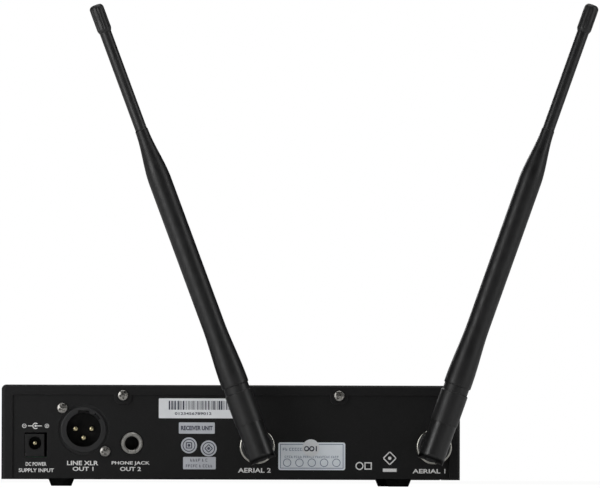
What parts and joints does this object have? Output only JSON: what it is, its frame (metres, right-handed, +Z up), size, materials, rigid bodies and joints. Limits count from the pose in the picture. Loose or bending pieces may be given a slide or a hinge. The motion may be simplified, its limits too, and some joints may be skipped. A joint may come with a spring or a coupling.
{
  "type": "wireless receiver unit",
  "caption": "Half-width wireless microphone receiver in a black sheet-metal case, with rear audio outputs, power inlet and folding whip antennas on bayonet sockets.",
  "frame": {"origin": "centre of the chassis tray's underside, 3.6 mm above the surface that the feet stand on", "axes": "+Z up, +Y out of the rear connector panel, -Y out of the front panel, +X to the left as the rear panel is faced"},
  "size_m": [0.2742, 0.2035, 0.2228],
  "materials": {
    "case_paint": "fine satin powder coat",
    "front_plastic": "satin moulded",
    "window": "clear smoked pane",
    "display": "dark unlit display",
    "key_plastic": "satin moulded",
    "foot_rubber": "matte",
    "antenna_boot": "satin",
    "antenna_plastic": "satin moulded",
    "board_laminate": "solder mask",
    "tinned_steel": "tinned",
    "nickel": "nickel plate",
    "connector_plastic": "moulded",
    "insulator": "natural",
    "contact_brass": "plated contact",
    "sink_metal": "extruded",
    "can_sleeve": "shrink sleeve",
    "chip_resin": "moulded resin",
    "ribbon_grey": "flat cable",
    "label_paper": "printed film"
  },
  "bodies": {
    "chassis": {"antenna_sockets": "nickel", "board_chips": "chip_resin", "board_screws": "nickel", "board_standoffs": "nickel", "chassis_tray": "case_paint", "cover_rear_screws": "nickel", "cover_side_screws": "nickel", "display_module": "display", "display_window": "window", "electrolytic_capacitors": "can_sleeve", "foot_screws": "nickel", "front_board": "board_laminate", "front_board_screws": "nickel", "front_panel": "front_plastic", "front_panel_screws": "nickel", "heat_sink": "sink_metal", "inspection_label": "label_paper", "key_switches": "connector_plastic", "line_jack_body": "connector_plastic", "line_jack_ferrule": "nickel", "line_jack_spring": "contact_brass", "main_board": "board_laminate", "power_inlet_body": "connector_plastic", "power_inlet_pin": "contact_brass", "ribbon_cable": "ribbon_grey", "ribbon_sockets": "connector_plastic", "rubber_feet": "foot_rubber", "serial_label": "label_paper", "small_labels": "label_paper", "socket_contacts": "contact_brass", "socket_insulators": "insulator", "socket_nuts": "nickel", "top_cover": "case_paint", "tuner_cans": "tinned_steel", "voltage_regulator": "chip_resin", "volume_potentiometer": "connector_plastic", "xlr_insert": "connector_plastic", "xlr_pins": "contact_brass", "xlr_screws": "nickel", "xlr_shell": "connector_plastic"},
    "power_button": {"power_button": "key_plastic"},
    "set_button": {"set_button": "key_plastic"},
    "up_button": {"up_button": "key_plastic"},
    "down_button": {"down_button": "key_plastic"},
    "volume_knob": {"volume_knob": "key_plastic", "volume_shaft": "nickel"},
    "bayonet_sleeve_a": {"antenna_a_bayonet_sleeve": "nickel"},
    "elbow_a": {"antenna_a_elbow": "antenna_plastic"},
    "whip_a": {"antenna_a_pivot_pin": "nickel", "antenna_a_knuckle": "antenna_plastic", "antenna_a_boot": "antenna_boot", "antenna_a_rod": "antenna_plastic", "antenna_a_cap": "antenna_boot"},
    "bayonet_sleeve_b": {"antenna_b_bayonet_sleeve": "nickel"},
    "elbow_b": {"antenna_b_elbow": "antenna_plastic"},
    "whip_b": {"antenna_b_pivot_pin": "nickel", "antenna_b_knuckle": "antenna_plastic", "antenna_b_boot": "antenna_boot", "antenna_b_rod": "antenna_plastic", "antenna_b_cap": "antenna_boot"}
  },
  "joints": [
    {"name": "bayonet_lock_a", "type": "hinge", "parent": "chassis", "child": "bayonet_sleeve_a", "pos_m": [-0.0934, 0.082, 0.0149], "axis": [0, 1, 0], "range_deg": [0, 90]},
    {"name": "antenna_swivel_a", "type": "hinge", "parent": "chassis", "child": "elbow_a", "pos_m": [-0.0934, 0.0986, 0.0149], "axis": [0, -1, 0], "range_deg": [-19.5, 70.5]},
    {"name": "antenna_fold_a", "type": "hinge", "parent": "elbow_a", "child": "whip_a", "pos_m": [-0.0934, 0.0986, 0.0149], "axis": [-0.9426, 0, -0.3338], "range_deg": [0, 90]},
    {"name": "bayonet_lock_b", "type": "hinge", "parent": "chassis", "child": "bayonet_sleeve_b", "pos_m": [-0.0118, 0.082, 0.0149], "axis": [0, 1, 0], "range_deg": [0, 90]},
    {"name": "antenna_swivel_b", "type": "hinge", "parent": "chassis", "child": "elbow_b", "pos_m": [-0.0118, 0.0986, 0.0149], "axis": [0, 1, 0], "range_deg": [-20.4, 69.6]},
    {"name": "antenna_fold_b", "type": "hinge", "parent": "elbow_b", "child": "whip_b", "pos_m": [-0.0118, 0.0986, 0.0149], "axis": [-0.9373, 0, 0.3486], "range_deg": [0, 90]},
    {"name": "power_button_press", "type": "slide", "parent": "chassis", "child": "power_button", "axis": [0, 1, 0], "range_m": [0, 0.0005], "stiffness_N_per_m": 2500},
    {"name": "set_button_press", "type": "slide", "parent": "chassis", "child": "set_button", "axis": [0, 1, 0], "range_m": [0, 0.0005], "stiffness_N_per_m": 2500},
    {"name": "up_button_press", "type": "slide", "parent": "chassis", "child": "up_button", "axis": [0, 1, 0], "range_m": [0, 0.0005], "stiffness_N_per_m": 2500},
    {"name": "down_button_press", "type": "slide", "parent": "chassis", "child": "down_button", "axis": [0, 1, 0], "range_m": [0, 0.0005], "stiffness_N_per_m": 2500},
    {"name": "volume_turn", "type": "hinge", "parent": "chassis", "child": "volume_knob", "pos_m": [0.0765, -0.09, 0.0216], "axis": [0, 1, 0], "range_deg": [-150, 150]}
  ]
}
